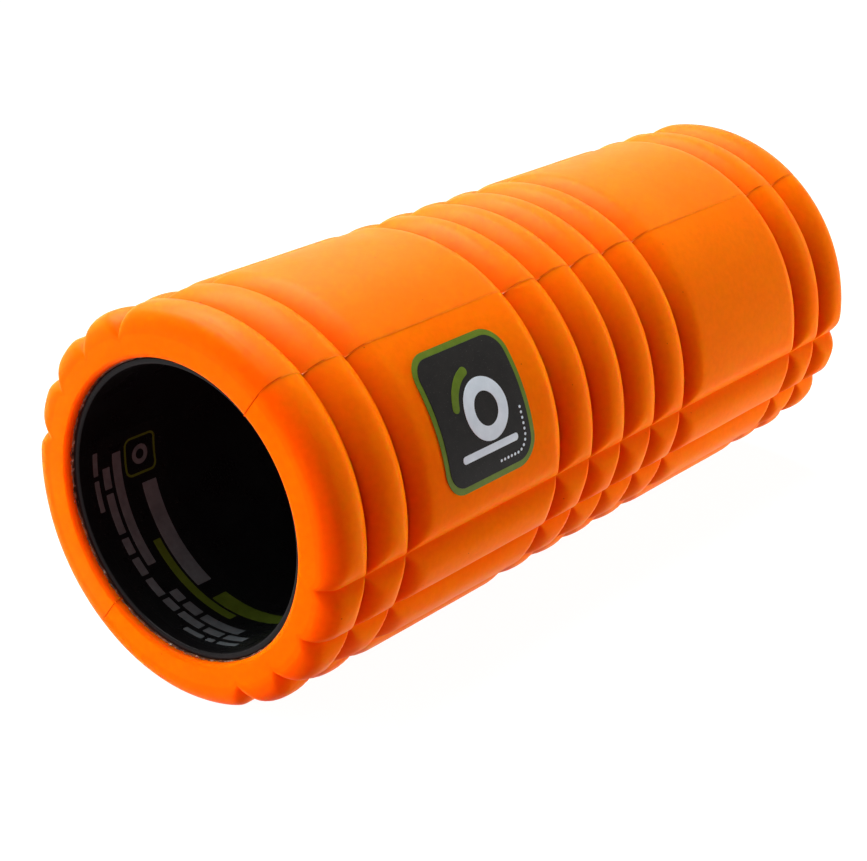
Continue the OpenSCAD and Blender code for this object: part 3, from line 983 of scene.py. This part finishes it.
# Soft lights: name, direction, distance, width and height, level at the roller, colour, and
# whether glossy surfaces mirror it.
LIGHTS = [
    ("top", (0.12, 0.38, 0.92), 1.2, (1.1, 1.1), 2.45, WHITE, True),
    ("left", (-0.55, 0.82, -0.12), 0.8, (0.48, 0.72), 1.65, WHITE, False),
    ("right", (0.86, -0.46, -0.25), 1.2, (0.8, 0.9), 1.74, WHITE, False),
    ("high", (-0.85, 0.08, 0.52), 1.4, (1.0, 1.0), 0.26, WHITE, False),
    ("fill", (-0.95, -0.24, -0.18), 1.6, (1.4, 1.4), 0.76, WARM, False),
]


def camera():
    """The camera at the viewing angle."""
    data = bpy.data.cameras.new("camera")
    data.lens = CAMERA_LENS
    data.sensor_width = 36.0
    data.clip_start, data.clip_end = 0.01, 100
    made = bpy.data.objects.new("camera", data)
    made.location = CAMERA_AT
    made.rotation_euler = CAMERA_TURN
    bpy.context.scene.collection.objects.link(made)
    bpy.context.scene.camera = made


def soft_light(name, at, size, power, colour, shines):
    """A large soft area light that points at the roller's middle."""
    data = bpy.data.lights.new(name, "AREA")
    data.shape = "RECTANGLE"
    data.size, data.size_y = size
    data.energy = power
    data.color = colour
    made = bpy.data.objects.new(name, data)
    made.location = at
    made.rotation_euler = (-Vector(at)).to_track_quat("-Z", "Y").to_euler()
    made.visible_glossy = shines
    bpy.context.scene.collection.objects.link(made)


def studio():
    """White paper floor and surroundings, and the soft lights."""
    corners = [(x * 8, y * 8, FLOOR_Z) for x, y in ((-1, -1), (1, -1), (1, 1), (-1, 1))]
    mesh = bpy.data.meshes.new("floor")
    mesh.from_pydata(corners, [], [(0, 1, 2, 3)])
    mesh.materials.append(floor_material())
    floor = bpy.data.objects.new("floor", mesh)
    bpy.context.scene.collection.objects.link(floor)
    floor.visible_diffuse = False
    floor.visible_glossy = False
    floor.visible_shadow = False
    world = bpy.data.worlds.new("studio")
    bpy.context.scene.world = world
    world.use_nodes = True
    world.node_tree.nodes["Background"].inputs[0].default_value = (1, 1, 1, 1)
    world.cycles_visibility.diffuse = False
    for name, toward, distance, size, level, colour, shines in LIGHTS:
        at = Vector(toward).normalized() * distance
        soft_light(name, at, size, level * (math.pi * distance) ** 2, colour, shines)
    bpy.context.scene.view_settings.view_transform = "Standard"


# Each printed film or ink: its darker and lighter colour, and its roughness.
INKS = {
    "badge_green": ((0.085, 0.145, 0.010), (0.115, 0.185, 0.016), 0.42),
    "badge_black": ((0.007, 0.0065, 0.006), (0.011, 0.010, 0.009), 0.34),
    "badge_silver": ((0.60, 0.71, 0.78), (0.68, 0.79, 0.86), 0.45),
    "label_film": ((0.004, 0.0045, 0.005), (0.006, 0.0065, 0.007), 0.30),
    "label_grey": ((0.090, 0.106, 0.113), (0.124, 0.144, 0.154), 0.45),
    "label_green": ((0.068, 0.108, 0.010), (0.092, 0.140, 0.015), 0.45),
}


def main():
    """Builds the roller and its studio."""
    camera()
    studio()
    glue, seam = adhesive_material(), seam_material()
    paints = {slot: ink_material(slot, *look) for slot, look in INKS.items()}
    satin = foam_material("foam_orange_satin", 0.02)
    sheen = foam_material("foam_orange_sheen", 0.04)
    foam_half("foam_front", "foam_half_front", True, satin, 11)
    foam_half("foam_rear", "foam_half_rear", False, sheen, 23)
    core_tube(core_material())
    core_bond("core_glue_front", "core_bond_front", True, glue, 31)
    core_bond("core_glue_rear", "core_bond_rear", False, glue, 37)
    seam_bond("seam_glue_upper", "seam_bond_upper", SEAM_ANGLE, 1, seam, 41)
    seam_bond("seam_glue_lower", "seam_bond_lower", SEAM_ANGLE + 180, -1, seam, 43)
    badge(paints)
    label(paints)


main()
